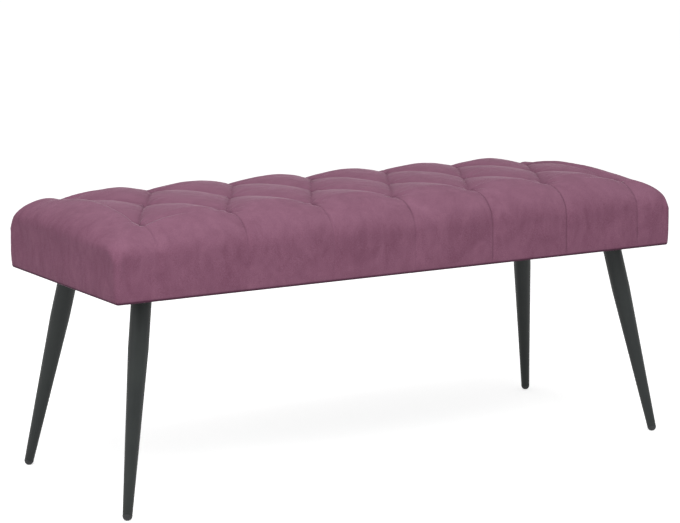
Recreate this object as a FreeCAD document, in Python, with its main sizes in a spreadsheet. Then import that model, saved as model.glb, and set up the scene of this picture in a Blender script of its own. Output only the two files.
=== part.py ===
import FreeCAD, Part
import math
import os
import Sketcher

# An upholstered bench: a long diamond-tufted seat on four splayed, tapered steel legs.
# The origin is on the floor below the middle of the seat. X runs along the bench, Y from front
# to back and Z up. All sizes are in millimetres.

SIZES = {
    # The seat as a whole
    "bench_length": 1070,
    "bench_width": 400,
    "seat_base_height": 336,
    "crown_height": 130,
    "side_height": 65,
    "seat_edge_radius": 50,
    "seat_corner_radius": 14,
    # The tufting: rows of tufts with the middle row staggered by half a pitch
    "tuft_columns": 7,
    "sections_in_a_pitch": 4,
    "tuft_margin": 72,
    "tuft_depth": 18,
    "crease_rise": 7,
    "seam_notch": 1.5,
    "side_bulge": 2,
    "pinch_width": 8,
    # The quilted cover
    "cover_thickness": 1.5,
    "hem_thickness": 3,
    "hem_width": 24,
    "soft_clearance": 0.3,
    # The seat board
    "board_thickness": 15,
    # The tapes that pull the tufts down, and the pegs that hold them, let in below the board
    "foam_punch_width": 14,
    "tape_width": 4,
    "tape_thickness": 1,
    "slot_length": 10,
    "slot_width": 5,
    "peg_length": 24,
    "peg_width": 6,
    "peg_thickness": 2.4,
    "peg_clearance": 0.3,
    # The dust cover
    "dust_cover_thickness": 0.6,
    "dust_cover_margin": 12,
    "plate_window_margin": 4,
    # The leg plates and the heads of their screws
    "plate_side": 80,
    "plate_thickness": 3,
    "plate_corner_cut": 8,
    "screw_spacing": 58,
    "screw_head_width": 8,
    "screw_head_height": 3.5,
    # The legs
    "leg_end_inset": 75,
    "leg_side_inset": 68.4,
    "splay_along": 59,
    "splay_across": 56.8,
    "leg_diameter": 32,
    "leg_straight_length": 84,
    "leg_tip_diameter": 15.5,
    # The plastic glides in the leg tips
    "glide_collar_length": 2.5,
    "glide_step_width": 2,
    "glide_flat_depth": 0.5,
}

CORNERS = {
    "front_left": (-1, -1),
    "front_right": (1, -1),
    "back_left": (-1, 1),
    "back_right": (1, 1),
}

# Expressions that several sub-parts share
HALF_LENGTH = "sizes.bench_length / 2"
HALF_WIDTH = "sizes.bench_width / 2"
LEG_X = "(sizes.bench_length / 2 - sizes.leg_end_inset)"
LEG_Y = "(sizes.bench_width / 2 - sizes.leg_side_inset)"
COVER_INSET = "(sizes.side_bulge + sizes.seam_notch + sizes.cover_thickness)"
FILLING_INSET = f"({COVER_INSET} + sizes.soft_clearance)"
CROWN = "(sizes.seat_base_height + sizes.crown_height)"
FOAM_TOP = f"({CROWN} - sizes.tuft_depth - sizes.cover_thickness - sizes.soft_clearance)"
BOARD_BASE = "(sizes.seat_base_height + sizes.hem_thickness)"
PLATE_BASE = f"({BOARD_BASE} - sizes.plate_thickness)"
FOAM_BASE = f"({BOARD_BASE} + sizes.board_thickness)"
SPLAY = "sqrt(sizes.splay_along ^ 2 + sizes.splay_across ^ 2)"
LEG_AXIS_LENGTH = "sqrt(sizes.splay_along ^ 2 + sizes.splay_across ^ 2 + sizes.seat_base_height ^ 2)"
DOME_CENTRE = (
    f"((sizes.leg_tip_diameter / 2 - sizes.glide_flat_depth) * {LEG_AXIS_LENGTH} / sizes.seat_base_height)"
)
LEG_FOOT = f"({DOME_CENTRE} + sizes.glide_collar_length)"

doc = FreeCAD.newDocument("tufted_bench")
sheet = doc.addObject("Spreadsheet::Sheet", "sizes")


def fill_sheet():
    """Write each driving size into the sheet, its name beside it."""
    for row, (alias, value) in enumerate(SIZES.items(), start=1):
        sheet.set(f"A{row}", alias)
        sheet.set(f"B{row}", str(value))
        sheet.setAlias(f"B{row}", alias)
    doc.recompute()


def size(alias):
    """Read one driving size from the sheet."""
    return float(sheet.get(alias))


def feature(kind, label):
    """Add an object whose label is also its name."""
    new = doc.addObject(kind, label)
    new.Label = label
    return new


def bind(target, **expressions):
    """Bind properties of an object to expressions over the sheet."""
    for name, expression in expressions.items():
        target.setExpression(name, expression)


def move_to(target, across, along, up):
    """Bind the place of an object to three expressions."""
    target.setExpression("Placement.Base.x", across)
    target.setExpression("Placement.Base.y", along)
    target.setExpression("Placement.Base.z", up)


def signed(sign, expression):
    """Give an expression the sign of one side of the bench."""
    return expression if sign > 0 else f"-{expression}"


# Sketches

def new_sketch(body, label, role):
    """Add a sketch on one of the body's own origin planes."""
    sketch = body.newObject("Sketcher::SketchObject", label)
    plane = next(item for item in body.Origin.OriginFeatures if item.Role == role)
    sketch.AttachmentSupport = [(plane, "")]
    sketch.MapMode = "FlatFace"
    return sketch


def hold_point(sketch, geometry, point, across, up):
    """Hold a point at two signed distances from the sketch's origin, a (sign, expression) pair each."""
    rules = (("DistanceX", -2, across, 0), ("DistanceY", -1, up, 1))
    for kind, axis, (sign, expression), coordinate in rules:
        if sign == 0:
            sketch.addConstraint(Sketcher.Constraint("PointOnObject", geometry, point, axis))
            continue
        ends = (-1, 1, geometry, point) if sign > 0 else (geometry, point, -1, 1)
        now = abs(sketch.getPoint(geometry, point)[coordinate])
        number = sketch.addConstraint(Sketcher.Constraint(kind, *ends, now))
        sketch.setExpression(f"Constraints[{number}]", expression)


def starting_point(index, count, across, up):
    """Place a corner on a small ring in its own quadrant, before the constraints move it."""
    turn = 2 * math.pi * index / count
    return FreeCAD.Vector(
        across[0] * (20 + 8 * math.cos(turn)),
        up[0] * (20 + 8 * math.sin(turn)),
        0,
    )


def draw_polygon(sketch, corners):
    """Draw a closed outline whose corners are held at (across, up) pairs."""
    starts = [starting_point(i, len(corners), *corner) for i, corner in enumerate(corners)]
    first = sketch.GeometryCount
    for index, start in enumerate(starts):
        sketch.addGeometry(Part.LineSegment(start, starts[(index + 1) % len(starts)]), False)
    for index in range(len(corners)):
        following = first + (index + 1) % len(corners)
        sketch.addConstraint(Sketcher.Constraint("Coincident", first + index, 2, following, 1))
    for index, corner in enumerate(corners):
        hold_point(sketch, first + index, 1, *corner)


def draw_rectangle(sketch, left, right, front, back):
    """Draw a rectangle from the signed places of its four sides."""
    draw_polygon(sketch, [(left, front), (right, front), (right, back), (left, back)])


# Body features

def pad(body, sketch, label, length):
    """Pad a sketch upwards by an expression."""
    new = body.newObject("PartDesign::Pad", label)
    new.Profile = sketch
    new.setExpression("Length", length)
    doc.recompute()
    return new


def pocket_up(body, sketch, label):
    """Cut a sketch upwards right through the body."""
    before = body.Shape.Volume
    new = body.newObject("PartDesign::Pocket", label)
    new.Profile = sketch
    new.Reversed = True
    new.Type = "ThroughAll"
    doc.recompute()
    if body.Shape.Volume >= before:
        raise RuntimeError(f"{label} removes nothing")
    return new


def round_upright_edges(body, base, label, radius):
    """Fillet the vertical edges of a plate."""
    upright = []
    for number, edge in enumerate(base.Shape.Edges, start=1):
        box = edge.BoundBox
        if box.ZLength > 0 and box.XLength + box.YLength < 1e-6:
            upright.append(f"Edge{number}")
    new = body.newObject("PartDesign::Fillet", label)
    new.Base = (base, upright)
    new.setExpression("Radius", radius)
    doc.recompute()
    return new


def revolve(body, sketch, label):
    """Turn a profile through a full circle round the sketch's upright axis."""
    new = body.newObject("PartDesign::Revolution", label)
    new.Profile = sketch
    new.ReferenceAxis = (sketch, ["V_Axis"])
    new.Angle = 360
    doc.recompute()
    return new


def turned_body(label, radii_and_heights):
    """Make a body of revolution from (radius, height) expressions, None for a point on an axis."""
    body = feature("PartDesign::Body", label)
    sketch = new_sketch(body, f"{label}_profile", "XZ_Plane")
    corners = []
    for radius, height in radii_and_heights:
        across = (0, "") if radius is None else (1, radius)
        up = (0, "") if height is None else (1, height)
        corners.append((across, up))
    draw_polygon(sketch, corners)
    revolve(body, sketch, f"{label}_turned")
    return body


# The tufted form of the seat

def tuft_pitch():
    """The distance between two neighbouring tufts of a row."""
    return (size("bench_length") - 2 * size("tuft_margin")) / (size("tuft_columns") - 1)


def tuft_row_offset():
    """The distance of the front and back rows of tufts from the middle row."""
    return size("bench_width") / 2 - size("tuft_margin")


def tuft_points():
    """The place of each tuft in plan: full front and back rows, and a staggered middle row."""
    columns = int(size("tuft_columns"))
    points = []
    for row, count in ((-1, columns), (0, columns - 1), (1, columns)):
        for column in range(count):
            across = (column - (count - 1) / 2) * tuft_pitch()
            points.append((across, row * tuft_row_offset()))
    return points


def blend(start, end, share):
    """A value between two others."""
    return start + (end - start) * share


def puff_share(across):
    """How near a place along the seat is to a tuft of the middle row: 1 there, 0 at an outer tuft."""
    reach = size("bench_length") / 2 - size("tuft_margin")
    columns = min(abs(across), reach) / tuft_pitch() + (size("tuft_columns") - 1) / 2
    return 1 - abs(2 * (columns % 1) - 1)


def end_share(across):
    """How far a place lies past the last tufts: 0 at them, 1 at the end of the seat."""
    past = abs(across) - size("bench_length") / 2 + size("tuft_margin")
    return max(0.0, past) / size("tuft_margin")


def section_points(across):
    """The points of the back half of a cross-section, from its base over the edge to the middle."""
    puff = puff_share(across)
    end = end_share(across)
    base = size("seat_base_height")
    shoulder_height = base + size("side_height")
    radius = size("seat_edge_radius")
    crown = base + size("crown_height")
    tuft = crown - size("tuft_depth")
    half_width = size("bench_width") / 2 - size("side_bulge") - size("seam_notch") * (1 - puff)

    def on_edge(degrees):
        turn = math.radians(degrees)
        return half_width - radius * (1 - math.cos(turn)), shoulder_height + radius * math.sin(turn)

    edge_top = on_edge(80)
    crease_across = blend(tuft_row_offset(), size("pinch_width") / 2, puff)
    crease_height = tuft + size("crease_rise") * (math.sin(math.pi * puff) + 0.5 * end)
    crest_across = blend(edge_top[0], crease_across, 0.42)
    crest_height = blend(blend(edge_top[1], crease_height, 0.3), crown, puff)
    swell = size("tuft_depth") * crease_across / tuft_row_offset() * (1 - 0.8 * end)
    return {
        "base": (half_width, base),
        "side": (half_width + size("side_bulge"), blend(base, shoulder_height, 0.5)),
        "shoulder": on_edge(0),
        "bend": on_edge(40),
        "edge_top": edge_top,
        "crest": (crest_across, crest_height),
        "crease": (crease_across, crease_height),
        "slope": (0.7 * crease_across, crease_height + 0.5 * swell),
        "ridge": (0.3 * crease_across, crease_height + 0.92 * swell),
    }


def section_wire(across):
    """One closed cross-section: base, back side and top, then the front as its mirror image."""
    back = {}
    front = {}
    for name, (along, up) in section_points(across).items():
        back[name] = FreeCAD.Vector(across, along, up)
        front[name] = FreeCAD.Vector(across, -along, up)
    curves = [
        Part.LineSegment(front["base"], back["base"]),
        Part.Arc(back["base"], back["side"], back["shoulder"]),
        Part.Arc(back["shoulder"], back["bend"], back["edge_top"]),
        Part.LineSegment(back["edge_top"], back["crest"]),
        Part.LineSegment(back["crest"], back["crease"]),
        Part.LineSegment(back["crease"], back["slope"]),
        Part.LineSegment(back["slope"], back["ridge"]),
        Part.LineSegment(back["ridge"], front["ridge"]),
        Part.LineSegment(front["ridge"], front["slope"]),
        Part.LineSegment(front["slope"], front["crease"]),
        Part.LineSegment(front["crease"], front["crest"]),
        Part.LineSegment(front["crest"], front["edge_top"]),
        Part.Arc(front["edge_top"], front["bend"], front["shoulder"]),
        Part.Arc(front["shoulder"], front["side"], front["base"]),
    ]
    return Part.Wire([curve.toShape() for curve in curves])


def tufted_loft():
    """The tufted seat ruled between its sections, with square ends."""
    steps = int(size("sections_in_a_pitch")) * (int(size("tuft_columns")) - 1)
    half_length = size("bench_length") / 2
    reach = half_length - size("tuft_margin")
    stations = [blend(-reach, reach, step / steps) for step in range(steps + 1)]
    ends = (reach + size("tuft_margin") / 3, half_length)
    stations = [-ends[1], -ends[0]] + stations + [ends[0], ends[1]]
    return Part.makeLoft([section_wire(across) for across in stations], True, True)


def form_feature(label, shape):
    """Keep a computed shape as an object of the document."""
    new = feature("Part::Feature", label)
    new.Shape = shape
    return new


def cut_feature(label, base, tool):
    """Cut one object from another."""
    new = feature("Part::Cut", label)
    new.Base = base
    new.Tool = tool
    return new


def common_feature(label, base, tool):
    """Keep what two objects share."""
    new = feature("Part::Common", label)
    new.Base = base
    new.Tool = tool
    return new


def plan_pad(label, inset, base, top):
    """An upright block over the seat's outline in plan, with rounded upright corners."""
    body = feature("PartDesign::Body", label)
    outline = new_sketch(body, f"{label}_outline", "XY_Plane")
    along = f"{HALF_LENGTH} - {inset}"
    across = f"{HALF_WIDTH} - {inset}"
    draw_rectangle(outline, (-1, along), (1, along), (-1, across), (1, across))
    block = pad(body, outline, f"{label}_block", f"{top} - {base}")
    round_upright_edges(body, block, f"{label}_corners", "sizes.seat_corner_radius")
    move_to(body, "0", "0", base)
    return body


def round_top_edges(body, base, label, radius, direction):
    """Fillet the top edges of a block that run along X or Y."""
    top = base.Shape.BoundBox.ZMax
    chosen = []
    for number, edge in enumerate(base.Shape.Edges, start=1):
        box = edge.BoundBox
        lengths = {"X": box.XLength, "Y": box.YLength}
        if box.ZMin > top - 1e-3 and lengths[direction] > 1:
            chosen.append(f"Edge{number}")
    new = body.newObject("PartDesign::Fillet", label)
    new.Base = (base, chosen)
    new.setExpression("Radius", radius)
    doc.recompute()
    return new


def crowned_profile(label, inset, base, top, direction):
    """A block inside the seat's outline whose two top edges along X or Y are rounded."""
    body = feature("PartDesign::Body", label)
    outline = new_sketch(body, f"{label}_outline", "XY_Plane")
    along = f"{HALF_LENGTH} - {inset}"
    across = f"{HALF_WIDTH} - {inset}"
    draw_rectangle(outline, (-1, along), (1, along), (-1, across), (1, across))
    block = pad(body, outline, f"{label}_slab", f"{top} - {base}")
    radius = "sizes.seat_edge_radius - sizes.cover_thickness"
    round_top_edges(body, block, f"{label}_rounding", radius, direction)
    move_to(body, "0", "0", base)
    return body


def crowned_block(label, inset, base, top):
    """A plain block inside the seat's outline, rounded at its top and upright edges."""
    long_profile = crowned_profile(f"{label}_long", inset, base, top, "X")
    end_profile = crowned_profile(f"{label}_end", inset, base, top, "Y")
    crowned = common_feature(f"{label}_crowned", long_profile, end_profile)
    plan = plan_pad(f"{label}_plan", inset, base, top)
    return common_feature(label, crowned, plan)


def place_boxes(label, length, width, height, bottom):
    """One upright box centred on each tuft in plan."""
    boxes = []
    for across, along in tuft_points():
        corner = FreeCAD.Vector(across - length / 2, along - width / 2, bottom)
        boxes.append(Part.makeBox(length, width, height, corner))
    return form_feature(label, Part.makeCompound(boxes))


# The soft pieces

def make_end_profile():
    """The side view of the seat: a long block with both top ends rounded."""
    body = feature("PartDesign::Body", "end_profile")
    outline = new_sketch(body, "end_profile_outline", "XY_Plane")
    across = "sizes.bench_width"
    draw_rectangle(outline, (-1, HALF_LENGTH), (1, HALF_LENGTH), (-1, across), (1, across))
    height = "sizes.crown_height + sizes.soft_clearance"
    block = pad(body, outline, "end_profile_block", height)
    radius = "sizes.crown_height + sizes.soft_clearance - sizes.side_height"
    round_top_edges(body, block, "end_profile_rounding", radius, "Y")
    move_to(body, "0", "0", "sizes.seat_base_height")
    return body


def make_seat_cover():
    """The quilted velvet cover, drawn down at the tufts and folded in below the board as a hem."""
    loft = form_feature("tufted_loft", tufted_loft())
    ended = common_feature("rounded_loft", loft, make_end_profile())
    plan = plan_pad("cover_plan", "0", "sizes.seat_base_height", f"({CROWN} + sizes.tuft_depth)")
    outside = common_feature("cover_outside", ended, plan)
    inside = crowned_block("cover_inside", COVER_INSET, BOARD_BASE, f"({FOAM_TOP} + sizes.soft_clearance)")
    shell = cut_feature("cover_shell", outside, inside)
    window = feature("Part::Box", "hem_window")
    bind(
        window,
        Length="sizes.bench_length - 2 * sizes.hem_width",
        Width="sizes.bench_width - 2 * sizes.hem_width",
        Height="2 * sizes.hem_thickness",
    )
    move_to(
        window,
        "sizes.hem_width - sizes.bench_length / 2",
        "sizes.hem_width - sizes.bench_width / 2",
        "sizes.seat_base_height - sizes.hem_thickness / 2",
    )
    return cut_feature("seat_cover", shell, window)


def make_seat_foam():
    """The foam block on the board, punched below each tuft for its tape."""
    block = crowned_block("foam_block", FILLING_INSET, FOAM_BASE, FOAM_TOP)
    width = size("foam_punch_width")
    bottom = size("seat_base_height")
    punches = place_boxes("foam_punches", width, width, 2 * size("crown_height"), bottom)
    return cut_feature("seat_foam", block, punches)


def make_dust_cover():
    """The thin sheet that closes the underside, with a window round each leg plate."""
    body = feature("PartDesign::Body", "dust_cover")
    outline = new_sketch(body, "dust_cover_outline", "XY_Plane")
    along = "(sizes.bench_length / 2 - sizes.dust_cover_margin)"
    across = "(sizes.bench_width / 2 - sizes.dust_cover_margin)"
    draw_rectangle(outline, (-1, along), (1, along), (-1, across), (1, across))
    pad(body, outline, "dust_cover_sheet", "sizes.dust_cover_thickness")
    windows = new_sketch(body, "dust_cover_windows", "XY_Plane")
    reach = "(sizes.plate_side / 2 + sizes.plate_window_margin)"
    for side, end in CORNERS.values():
        sides = sorted([(side, f"{LEG_X} - {reach}"), (side, f"{LEG_X} + {reach}")], key=lambda x: side)
        ends = [(end, f"{LEG_Y} - {reach}"), (end, f"{LEG_Y} + {reach}")]
        draw_rectangle(windows, sides[0], sides[1], ends[0], ends[1])
    pocket_up(body, windows, "dust_cover_openings")
    move_to(body, "0", "0", "sizes.seat_base_height - sizes.dust_cover_thickness")
    return body


# The board and the tuft ties

def make_seat_board():
    """The plywood board: below each tuft, a slot for the tape and a pocket for its peg."""
    slab = plan_pad("board_slab", FILLING_INSET, BOARD_BASE, FOAM_BASE)
    bottom = size("seat_base_height")
    height = 2 * size("board_thickness") + size("hem_thickness")
    slots = place_boxes("board_slots", size("slot_length"), size("slot_width"), height, bottom)
    slotted = cut_feature("slotted_board", slab, slots)
    gap = size("peg_clearance")
    width = size("peg_width") + 2 * gap
    length = size("peg_length") + 2 * gap
    depth = size("hem_thickness") + size("peg_thickness") + gap
    pockets = place_boxes("board_pockets", width, length, depth, bottom)
    return cut_feature("seat_board", slotted, pockets)


def peg_bottom():
    """The height of the underside of the pegs, pulled up against the roofs of their pockets."""
    return size("seat_base_height") + size("hem_thickness") + size("peg_clearance")


def make_tuft_tapes():
    """A flat tape from each tuft down to its peg."""
    bottom = peg_bottom() + size("peg_thickness")
    top = size("seat_base_height") + size("crown_height") - size("tuft_depth")
    height = top - size("cover_thickness") - size("soft_clearance") - bottom
    return place_boxes("tuft_tapes", size("tape_width"), size("tape_thickness"), height, bottom)


def make_tuft_pegs():
    """The wooden pegs under the board that the tapes are tied round."""
    return place_boxes("tuft_pegs", size("peg_width"), size("peg_length"), size("peg_thickness"), peg_bottom())


# The legs and their fastenings

def screw_heads(corner, side, end):
    """The hexagonal heads of the four screws of a plate."""
    heads = []
    for across in ("-", "+"):
        for along in ("-", "+"):
            head = feature("Part::Prism", f"screw_head_{corner}_{len(heads) + 1}")
            height = "sizes.screw_head_height + sizes.plate_thickness / 2"
            bind(head, Circumradius="sizes.screw_head_width / sqrt(3)", Height=height)
            move_to(
                head,
                f"{signed(side, LEG_X)} {across} sizes.screw_spacing / 2",
                f"{signed(end, LEG_Y)} {along} sizes.screw_spacing / 2",
                f"{PLATE_BASE} - sizes.screw_head_height",
            )
            heads.append(head)
    return heads


def make_leg_plate(corner, side, end):
    """The steel plate that carries one leg, with its four screw heads."""
    label = f"leg_plate_{corner}"
    body = feature("PartDesign::Body", f"plate_slab_{corner}")
    outline = new_sketch(body, f"plate_outline_{corner}", "XY_Plane")
    half = "sizes.plate_side / 2"
    short = "(sizes.plate_side / 2 - sizes.plate_corner_cut)"
    draw_polygon(outline, [
        ((-1, short), (-1, half)),
        ((1, short), (-1, half)),
        ((1, half), (-1, short)),
        ((1, half), (1, short)),
        ((1, short), (1, half)),
        ((-1, short), (1, half)),
        ((-1, half), (1, short)),
        ((-1, half), (-1, short)),
    ])
    pad(body, outline, f"plate_pad_{corner}", "sizes.plate_thickness")
    move_to(body, signed(side, LEG_X), signed(end, LEG_Y), PLATE_BASE)
    joined = feature("Part::MultiFuse", label)
    joined.Shapes = [body] + screw_heads(corner, side, end)
    return joined


def lean(target, side, end):
    """Stand a leg piece on the floor point of its leg and lean it towards the leg's plate."""
    foot_x = signed(side, f"({LEG_X} + sizes.splay_along)")
    foot_y = signed(end, f"({LEG_Y} + sizes.splay_across)")
    turn_x = signed(end, "sizes.splay_across")
    turn_y = signed(-side, "sizes.splay_along")
    place = f"create(<<vector>>; {foot_x}; {foot_y}; 0)"
    turn_axis = f"create(<<vector>>; {turn_x}; {turn_y}; 0)"
    turn = f"create(<<rotation>>; {turn_axis}; atan2({SPLAY}; sizes.seat_base_height))"
    target.setExpression("Placement", f"create(<<placement>>; {place}; {turn})")


def make_leg(corner, side, end):
    """A leg, straight below the plate and then tapered to the foot, its closed bore left solid."""
    outer = "sizes.leg_diameter / 2"
    tip = "sizes.leg_tip_diameter / 2"
    top = f"{LEG_AXIS_LENGTH} + sizes.leg_diameter / 2"
    turned = turned_body(f"leg_turning_{corner}", [
        (None, LEG_FOOT),
        (tip, LEG_FOOT),
        (outer, f"{LEG_AXIS_LENGTH} - sizes.leg_straight_length"),
        (outer, top),
        (None, top),
    ])
    lean(turned, side, end)
    above = feature("Part::Box", f"leg_trim_{corner}")
    bind(
        above,
        Length="4 * sizes.leg_diameter",
        Width="4 * sizes.leg_diameter",
        Height="2 * sizes.leg_diameter",
    )
    move_to(
        above,
        f"{signed(side, LEG_X)} - 2 * sizes.leg_diameter",
        f"{signed(end, LEG_Y)} - 2 * sizes.leg_diameter",
        PLATE_BASE,
    )
    return cut_feature(f"leg_{corner}", turned, above)


def make_glide(corner, side, end):
    """The plastic glide under a leg: a collar, a tip bevelled in two steps and a flat foot."""
    radius = "sizes.leg_tip_diameter / 2"
    turned = turned_body(f"glide_turning_{corner}", [
        (None, LEG_FOOT),
        (radius, LEG_FOOT),
        (radius, f"{DOME_CENTRE} - sizes.glide_step_width"),
        (f"{radius} - sizes.glide_step_width", f"{DOME_CENTRE} - 2.5 * sizes.glide_step_width"),
        (f"{radius} - 2.5 * sizes.glide_step_width", f"{DOME_CENTRE} - {radius}"),
        (None, f"{DOME_CENTRE} - {radius}"),
    ])
    lean(turned, side, end)
    across = f"({LEG_X} + sizes.splay_along)"
    along = f"({LEG_Y} + sizes.splay_across)"
    below = feature("Part::Box", f"floor_trim_{corner}")
    bind(below, Length="sizes.leg_diameter", Width="sizes.leg_diameter", Height="sizes.leg_diameter")
    move_to(
        below,
        f"{signed(side, across)} - sizes.leg_diameter / 2",
        f"{signed(end, along)} - sizes.leg_diameter / 2",
        "-sizes.leg_diameter",
    )
    return cut_feature(f"glide_{corner}", turned, below)


def make_leg_glides(plugs):
    """The four glides as separate solids of one sub-part."""
    doc.recompute()
    return form_feature("leg_glides", Part.makeCompound([plug.Shape.copy() for plug in plugs]))


def make_nodes():
    """Make every sub-part of the bench."""
    nodes = [
        make_seat_cover(),
        make_seat_foam(),
        make_seat_board(),
        make_dust_cover(),
        make_tuft_tapes(),
        make_tuft_pegs(),
    ]
    plugs = []
    for corner, (side, end) in CORNERS.items():
        nodes.append(make_leg_plate(corner, side, end))
        nodes.append(make_leg(corner, side, end))
        plugs.append(make_glide(corner, side, end))
    nodes.append(make_leg_glides(plugs))
    doc.recompute()
    return nodes


def check_document(nodes):
    """Stop where an object failed or a sub-part has no sound shape."""
    for item in doc.Objects:
        if "Invalid" in item.State or "Error" in item.State:
            raise RuntimeError(f"{item.Name} failed: {item.State}")
    for node in nodes:
        if node.Shape.isNull() or not node.Shape.isValid() or not node.Shape.Solids:
            raise RuntimeError(f"{node.Label} has no sound shape")


def write_nodes(nodes):
    """Write each sub-part to its own file and print its size."""
    os.makedirs("parts", exist_ok=True)
    for node in nodes:
        node.Shape.exportStep(f"parts/{node.Label}.step")
        print(node.Label, len(node.Shape.Solids), "solids", round(node.Shape.Volume), "mm3")


fill_sheet()
bench_nodes = make_nodes()
check_document(bench_nodes)
write_nodes(bench_nodes)
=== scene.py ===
import math
import random

import bmesh
import bpy
import numpy as np
from mathutils import Matrix, Vector, noise


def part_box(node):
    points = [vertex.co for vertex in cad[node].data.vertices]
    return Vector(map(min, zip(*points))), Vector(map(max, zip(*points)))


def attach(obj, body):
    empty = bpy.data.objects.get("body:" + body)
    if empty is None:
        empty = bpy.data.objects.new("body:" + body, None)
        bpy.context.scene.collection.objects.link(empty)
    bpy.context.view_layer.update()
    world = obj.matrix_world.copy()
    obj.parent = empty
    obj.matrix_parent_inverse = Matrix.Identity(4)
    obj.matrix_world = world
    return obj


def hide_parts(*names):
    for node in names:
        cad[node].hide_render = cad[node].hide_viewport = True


# A long diamond-tufted velvet bench on four splayed, tapered steel legs.
# All sizes are in metres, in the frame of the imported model: X along the bench, Y from front to
# back, Z up, with the floor at zero.

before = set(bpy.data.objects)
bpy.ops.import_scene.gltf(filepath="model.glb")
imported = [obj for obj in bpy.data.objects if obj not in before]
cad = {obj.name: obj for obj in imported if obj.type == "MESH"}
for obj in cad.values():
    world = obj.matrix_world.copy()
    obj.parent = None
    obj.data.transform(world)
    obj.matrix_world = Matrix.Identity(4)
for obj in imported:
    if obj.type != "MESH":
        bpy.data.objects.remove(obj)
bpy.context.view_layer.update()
cover_low, cover_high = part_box("seat_cover")

# The seat as a whole, taken from the frame
LENGTH = cover_high.x - cover_low.x
WIDTH = cover_high.y - cover_low.y
BASE = cover_low.z

# The upright sides, the round edge above them, and how far the sides are drawn in at its foot
SIDE_HEIGHT = 0.065
EDGE_RADIUS = 0.050
SHOULDER_TUCK = 0.0015

# The tufts: how many stand in an outer row, and how far in from the sides and ends
COLUMNS = 7
MARGIN = 0.072

# The puffs between them: their height, the rise of a crease between two tufts, the drop of the
# tufts, how far past the outer tufts rise and drop last, and the power of the half wave across
# a puff, on top and past the outer rows
PUFF = 0.015
CREASE_RISE = 0.006
TUFT_DROP = 0.0025
LOW_SPAN = 0.03
INNER_POWER = 0.42
OUTER_POWER = 0.30
POWER_SPAN = 0.05

# The ends: how far they turn over and how squarely, how high that starts, how far the top falls
# towards them, and how far the creases there are filled in
END_DEPTH = 0.068
END_SQUARENESS = 2.1
END_SHOULDER_LIFT = 0.0128
END_FALL = 0.006
END_FALL_START = 0.11
END_FALL_SPAN = 0.13
END_FILL = 0.80
END_FILL_WIDTH = 0.7

# The corners: their radius in plan at the foot and half way up the edge, how far the edge falls
# there, how far in that reaches, and how much of a side is bent to go round them
CORNER_RADIUS = 0.006
TOP_CORNER_RADIUS = 0.0165
SMALLEST_CORNER_RADIUS = 0.002
RIGHT_CORNER_FALL = 0.0105
BACK_LEFT_CORNER_FALL = 0.0053
FRONT_LEFT_CORNER_FALL = 0.0150
CORNER_REACH = 0.092
CORNER_SPAN = 0.045

# The hem: inset and height over the base of the rings that turn the cloth in below the seat
HEM_RINGS = (
    (0.0, 0.0034),
    (0.0004, 0.0020),
    (0.0011, 0.0009),
    (0.0022, 0.0003),
    (0.0040, 0.0),
    (0.0240, 0.0),
    (0.0240, 0.0028),
)
HEM_DISTANCE = 0.17
# Up to which height over the base the painted shade under the hem is full, and over which it fades
HEM_SHADE_TOP = 0.0030
HEM_SHADE_FADE = 0.0022

# The grid of points: its usual step, its fine steps beside a seam and at the ends of a side, how
# far these reach, and the number of rings in the edge and down the side
GRID_STEP = 0.0027
FINE_STEP_ALONG = 0.0009
FINE_STEP_ACROSS = 0.0016
FINE_REACH = 0.003
FINE_FADE = 0.012
EDGE_RINGS = 26
SIDE_RINGS = 22
LOWEST_SIDE_RING = 0.0050
TINY = 1e-9

# The pucker of a tuft: its dimple, the folds that run out from it, and its shaded patch
DIMPLE_DEPTH = 0.0035
DIMPLE_REACH = 0.0055
FOLD_HEIGHT = 0.0017
FOLD_START = 0.006
FOLD_REACH = 0.022
MANY_FOLDS = 7
FEW_FOLDS = 4
FEW_FOLDS_SHARE = 0.7
TUFT_SHADE_REACH = 0.006

# The seams: depth and half width of the groove, half width and level of its shaded line, the least
# share of the depth, where they start past the outer tufts, and where they fade on the face
SEAM_DEPTH = 0.0009
SEAM_WIDTH = 0.0018
SEAM_LINE_WIDTH = 0.0011
SEAM_LINE_LEVEL = 0.5
SEAM_LEAST_DEPTH = 0.4
SEAM_START = 0.004
SEAM_START_SPAN = 0.012
FACE_START = 0.055
FACE_SPAN = 0.035

# How sharply each seam is drawn in and how dark the painted shade along it is, from left to right
SEAM_CRISPNESS = (0.55, 0.7, 0.3, 0.9, 1.0, 1.0, 0.9)

# The share of that sharpness that is left on the upright face
SEAM_ON_FACE = (0.1, 0.15, 0.1, 0.25, 0.8, 0.9, 0.8)

# The fine folds beside a seam: how many, and the ranges that each is drawn from
WRINKLE_COUNTS = (1, 2, 2)
WRINKLE_START = (0.005, 0.009)
WRINKLE_DRIFT = (-0.05, 0.09)
WRINKLE_MIDDLE = (0.03, 0.05)
WRINKLE_DEPTH = (0.0003, 0.0008)
WRINKLE_STEP = (0.006, 0.010)
WRINKLE_LENGTH = 0.022
WRINKLE_WIDTH = 0.0022

# The upright fold beside a corner: its middle height, its length, and the place from the end, the
# half width and the height of its ridge and of the groove beside it
PLEAT_LEVEL = 0.404
PLEAT_LENGTH = 0.020
PLEAT_FACE = 0.012
RIDGE_PLACE = 0.009
RIDGE_WIDTH = 0.0022
RIDGE_HEIGHT = 0.0014
GROOVE_PLACE = 0.0145
GROOVE_WIDTH = 0.0026
GROOVE_DEPTH = 0.0010

# Slow waves of the cloth: their size, their height and where the noise is read
LONG_WAVES = (0.045, 0.0007, 3.1)
SHORT_WAVES = (0.016, 0.00025, 8.3)

# Over which height every relief fades out towards the foot of the side
FOOT_FADE = 0.012

# Which directions count as straight up, and how the painted top light starts on the round edge
STRAIGHT_UP = 0.9999
UPWARD_SPAN = 0.75
UPWARD_SHIFT_AT_ENDS = 0.35

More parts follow.
